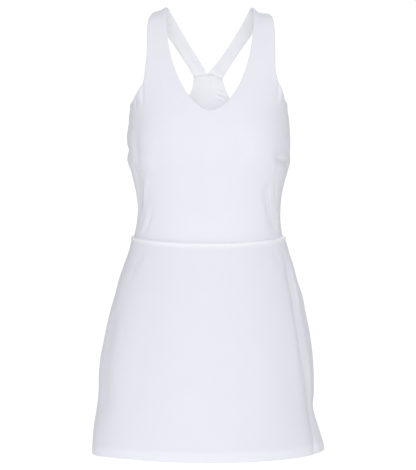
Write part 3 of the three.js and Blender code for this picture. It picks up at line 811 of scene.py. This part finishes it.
SKIRT_CREASES = [
    # Soft flutes down the front
    (-34, -470, -38, -800, -1.2, 16, 4),
    (-18, -450, -20, -790, 1.0, 20, -4),
    (6, -520, 4, -800, -1.0, 18, 3),
    (30, -470, 34, -800, 1.2, 18, 4),
    (48, -540, 50, -800, -1.0, 14, -3),
    # Drag lines from the waist
    (-52, -422, -62, -500, -0.8, 6, 3),
    (-44, -420, -52, -484, 0.6, 7, 3),
    (50, -418, 56, -470, -0.7, 6, -2),
    # Along the right side seam, and its pucker at the hem
    (76, -436, 72, -560, 1.6, 8, 0),
    (60, -470, 57, -640, 1.0, 9, 0),
    (74, -600, 80, -760, 1.8, 8, 0),
    (70, -768, 63, -800, -2.6, 3.2, 0),
    (74, -764, 70, -802, 1.0, 4, 0),
    # Left side and back flutes
    (-84, -520, -88, -790, 1.6, 12, 2),
    (-120, -500, -124, -800, 2.0, 14, 4),
    (-155, -470, -158, -800, -2.2, 14, -4),
    (160, -460, 158, -800, -1.8, 13, 5),
    (118, -480, 116, -800, -2.4, 15, 3),
    (100, -430, 106, -520, -1.6, 6, -2),
    (-132, -424, -128, -520, -1.5, 7, 2),
    (150, -424, 146, -500, -1.3, 6, 2),
    (-168, -420, -172, -490, -1.1, 6, -2),
]

# Roll at the waist, from the seam outwards and down: how far it stands out, and how far below the seam
# it lies.
ROLL_OUT = [-1.5, 0.6, 2.4, 3.9, 4.8, 4.7, 3.9, 3.0, 2.6, 2.4, 1.7, 0.8, 0]
ROLL_DROP = [0.3, -0.1, -0.5, 0.2, 1.8, 3.6, 5.4, 7.2, 9.4, 12, 17, 24, 34]

# Side seams of the skirt. They run by the rows' heights at the right side: the left one at one angle, and
# the right one in a trough, with its depth, its width and the heights between which it deepens.
RIGHT_SIDE = 90.0
LEFT_SEAM_ANGLE = -104.0
SEAM_HEIGHTS = [-395, -430, -490, -600, -660, -715, -805]
SEAM_ANGLES = [72, 69, 65, 64, 68, 74, 66]
TROUGH = 3.4
TROUGH_WIDTH = 16.0
TROUGH_FROM = -415.0
TROUGH_FULL = -480.0

# Hem: the height of its lower edge, how deep it is turned up, and its dip at the left side, by depth,
# angle and width.
HEM_HEIGHT = -794.5
HEM_DEPTH = 15.0
HEM_DIP = 8.0
HEM_DIP_AT = -85.0
HEM_DIP_WIDTH = 26.0

# The hem's doubled wall, how proud it stands, over how much that fades, and how its lower edge is rounded
HEM_WALL = 2.8
HEM_PROUD = 0.45
HEM_FADE = 1.0
HEM_EDGE_RADIUS = 2.0
HEM_EDGE_DROP = 1.1

# Painted light: how much lighter the hem's doubled cloth is painted, for the light that it lets through
# less, and the painted highlight on the top of the roll, and where each fades: by how far below the top of
# the hem, and by the share of the way round the roll.
HEM_PAINTED_LIGHT = 0.3
HEM_PAINTED_LIGHT_FADE = (-8, 4)
ROLL_PAINTED_HIGHLIGHT = 0.6
ROLL_PAINTED_HIGHLIGHT_FADE = (0.4, 0.75)

# Rows round the roll, down the skirt and down the hem, where they crowd towards the lower edge
ROLL_ROWS = 30
SKIRT_ROWS = 132
HEM_ROWS = 14
HEM_CROWDING = 1.3
SKIRT_COLUMNS = 190

# The form goes on above the waist in line with its first two sections.
above_skirt = 2 * np.array(SKIRT_FORM[0], float) - SKIRT_FORM[1]
skirt_form = WornForm(SKIRT_FORM, above_skirt, None, SKIRT_FOLDS, SKIRT_CREASES)
roll_keys = np.linspace(0, 1, len(ROLL_OUT))


def left_seam(height):
    """The angle at which the left side seam lies, from the front."""
    return np.full_like(height, LEFT_SEAM_ANGLE)


def left_seam_from_behind(height):
    """The same seam, where the back panel ends."""
    return left_seam(height) + 360


def right_seam(height):
    """The angle at which the right side seam lies."""
    return along(SEAM_HEIGHTS, SEAM_ANGLES, height)


def hem_height(angle):
    """The hem's lower edge, which dips at the left side."""
    aside = (angle - HEM_DIP_AT + 180) % 360 - 180
    return HEM_HEIGHT - HEM_DIP * np.exp(-((aside / HEM_DIP_WIDTH) ** 2))


def skirt_height(angle, place):
    """The height at a place on the skirt, which goes from 0 to 1 round the roll, on to 2 at the top of
    the hem, and on to 3 at its lower edge."""
    drop = along(roll_keys, ROLL_DROP, np.minimum(place, 1))
    hem = hem_height(angle)
    height = between(waist_height(angle) - drop, hem + HEM_DEPTH, np.clip(place - 1, 0, 1))
    return between(height, hem, np.maximum(place - 2, 0))


def skirt_panel(start_seam, end_seam):
    """A skirt panel, in rows from the hem's edge up and round the roll, and columns from seam to seam."""
    hem_places = 3 - np.linspace(0, 1, HEM_ROWS) ** HEM_CROWDING
    body_places = 2 - np.linspace(0, 1, SKIRT_ROWS)[1:]
    roll_places = 1 - np.linspace(0, 1, ROLL_ROWS)[1:]
    place = np.concatenate([hem_places, body_places, roll_places])[:, None]
    side_height = skirt_height(RIGHT_SIDE, place)
    share = crowded(SKIRT_COLUMNS)[None, :]
    angle = between(start_seam(side_height), end_seam(side_height), share)
    height = skirt_height(angle, place)
    level = skirt_form.level_at(height)
    points = skirt_form.bare(angle, level)
    out, wall = edge_finish(points, [], [points[:, 0], points[:, -1]])
    out += along(roll_keys, ROLL_OUT, np.minimum(place, 1))
    off_seam = np.radians(angle - right_seam(height)) * CLOTH_RADIUS
    deepened = smooth(-height, -TROUGH_FROM, -TROUGH_FULL)
    out -= TROUGH * np.exp(-((off_seam / TROUGH_WIDTH) ** 2)) * deepened
    below = hem_height(angle) + HEM_DEPTH - height
    doubled = smooth(below, -HEM_FADE, HEM_FADE)
    rounded = np.clip(1 - (HEM_DEPTH - below) / HEM_EDGE_RADIUS, 0, 1) ** 2
    out += HEM_PROUD * doubled - HEM_EDGE_DROP * rounded
    wall += (HEM_WALL - WALL) * doubled
    # Painted light on the hem's doubled cloth, and a painted highlight on the top of the roll
    painted_light = HEM_PAINTED_LIGHT * smooth(below, *HEM_PAINTED_LIGHT_FADE)
    painted_light = painted_light + ROLL_PAINTED_HIGHLIGHT * (1 - smooth(place, *ROLL_PAINTED_HIGHLIGHT_FADE))
    return angle, level, out, wall, painted_light


# The skirt's knit is the bodice's knit painted a little darker: painted shade for the light that falls off
# lower down
skirt_knit = knit("skirt_knit", light=(0.758, 0.764, 0.832), shade=(0.732, 0.738, 0.805))
for word, seams, flat, area in (
    ("front", (left_seam, right_seam), (0.56, 0.42), 0.185),
    ("back", (right_seam, left_seam_from_behind), (0.62, 0.42), 0.205),
):
    panel = cloth_sheet(f"skirt_{word}_knit", skirt_form, *skirt_panel(*seams))
    give_wall(panel)
    panel.data.materials.append(skirt_knit)
    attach(panel, "root")
    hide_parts(f"skirt_{word}")


# Pale floor well below the hem, soft studio light from the front, and the camera of the photograph.
# Places here are in metres.

FLOOR_HEIGHT = -1.38
FLOOR_RADIUS = 1.9
FLOOR_CORNERS = 96
WHITE = (1, 1, 1, 1)
bpy.ops.object.select_all(action="DESELECT")
bpy.ops.mesh.primitive_circle_add(
    vertices=FLOOR_CORNERS, radius=FLOOR_RADIUS, fill_type="NGON", location=(0, 0, FLOOR_HEIGHT)
)
floor = bpy.context.object
floor.name = "floor"
paper = bpy.data.materials.new("floor_paper")
Nodes(paper).shade({"Base Color": (0.9, 0.9, 0.9, 1), "Roughness": 0.9})
floor.data.materials.append(paper)

# Light all round, a little stronger from above than from below, in front of a brighter backdrop
LIGHT_BELOW = 0.53
LIGHT_ABOVE = 0.63
BACKDROP_LIGHT = 1.06
world = bpy.data.worlds.new("studio")
bpy.context.scene.world = world
studio = Nodes(world, shader="Background")
way_out = studio.add("ShaderNodeTexCoord", {}, {}, output="Generated")
upward = studio.add("ShaderNodeSeparateXYZ", {}, {"Vector": way_out}, output="Z")
glow = upward * ((LIGHT_ABOVE - LIGHT_BELOW) / 2) + (LIGHT_ABOVE + LIGHT_BELOW) / 2
studio.shade({"Color": WHITE, "Strength": glow})
backdrop = studio.add("ShaderNodeBackground", {}, {"Color": WHITE, "Strength": BACKDROP_LIGHT})
seen = studio.add("ShaderNodeLightPath", {}, {}, output="Is Camera Ray")
all_round = Value(studio, studio.shader.outputs[0])
light = studio.add("ShaderNodeMixShader", {}, {0: seen, 1: all_round, 2: backdrop})
studio.set(studio.tree.nodes["World Output"].inputs["Surface"], light)


def softbox(name, place, target, size, power):
    """A square area light that faces a point."""
    bpy.ops.object.light_add(type="AREA", location=place)
    lamp = bpy.context.object
    lamp.name = name
    lamp.data.size = size
    lamp.data.energy = power
    way = np.array(target, float) - place
    tilt = np.arctan2(np.hypot(way[0], way[1]), -way[2])
    lamp.rotation_euler = (float(tilt), 0, float(np.arctan2(-way[0], way[1])))


# Place, the point that the light faces, size and power in watts
softbox("front_light", (0, -4.0, 0.75), (0, 0, -0.35), 2.0, 72)
softbox("left_light", (-0.95, -0.7, -1.3), (-0.15, 0, -0.7), 0.4, 1.9)
softbox("right_light", (3.2, -1.4, -0.9), (0, 0, -0.6), 1.0, 7)
softbox("back_light", (0.7, 3.9, 1.5), (0, 0, -0.4), 1.6, 70)

# The camera looks down a little, at a point in the dress's middle plane that is so much lower.
CAMERA_PLACE = (-0.0027, -3.6, -0.096)
CAMERA_FALL = 0.310
CAMERA_LENS = 153.7
SENSOR_WIDTH = 36
pitch = float(np.arctan(CAMERA_FALL / -CAMERA_PLACE[1]))
bpy.ops.object.camera_add(location=CAMERA_PLACE, rotation=(np.pi / 2 - pitch, 0, 0))
camera = bpy.context.object
camera.name = "camera"
camera.data.lens = CAMERA_LENS
camera.data.sensor_width = SENSOR_WIDTH
bpy.context.scene.camera = camera
bpy.context.scene.view_settings.view_transform = "Standard"
